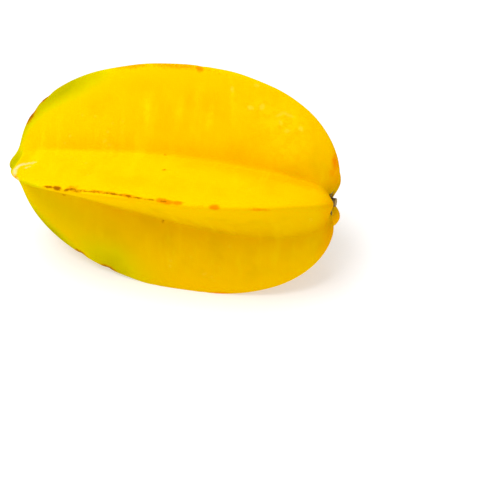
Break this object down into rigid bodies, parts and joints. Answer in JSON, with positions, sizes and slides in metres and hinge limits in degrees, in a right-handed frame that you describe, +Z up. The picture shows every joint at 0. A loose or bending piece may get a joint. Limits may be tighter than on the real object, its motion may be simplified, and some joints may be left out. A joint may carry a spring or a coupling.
{
  "type": "star fruit",
  "caption": "Whole ripe star fruit lying on two of its ribs: a waxy yellow body of deep, thin-crested ribs, star-shaped across, with a blunt blossom tip and a stem scar in a pit.",
  "frame": {"origin": "centre of the bounding box's underside, on the table plane that the two lower ribs rest on", "axes": "+X along the fruit's axis towards the stem end, with the blossom tip at -X; +Z up; -Y towards the side the picture shows"},
  "size_m": [0.1058, 0.0684, 0.0682],
  "materials": {
    "skin": "waxy fruit skin"
  },
  "bodies": {
    "root": {"star_fruit": "skin"}
  },
  "joints": []
}
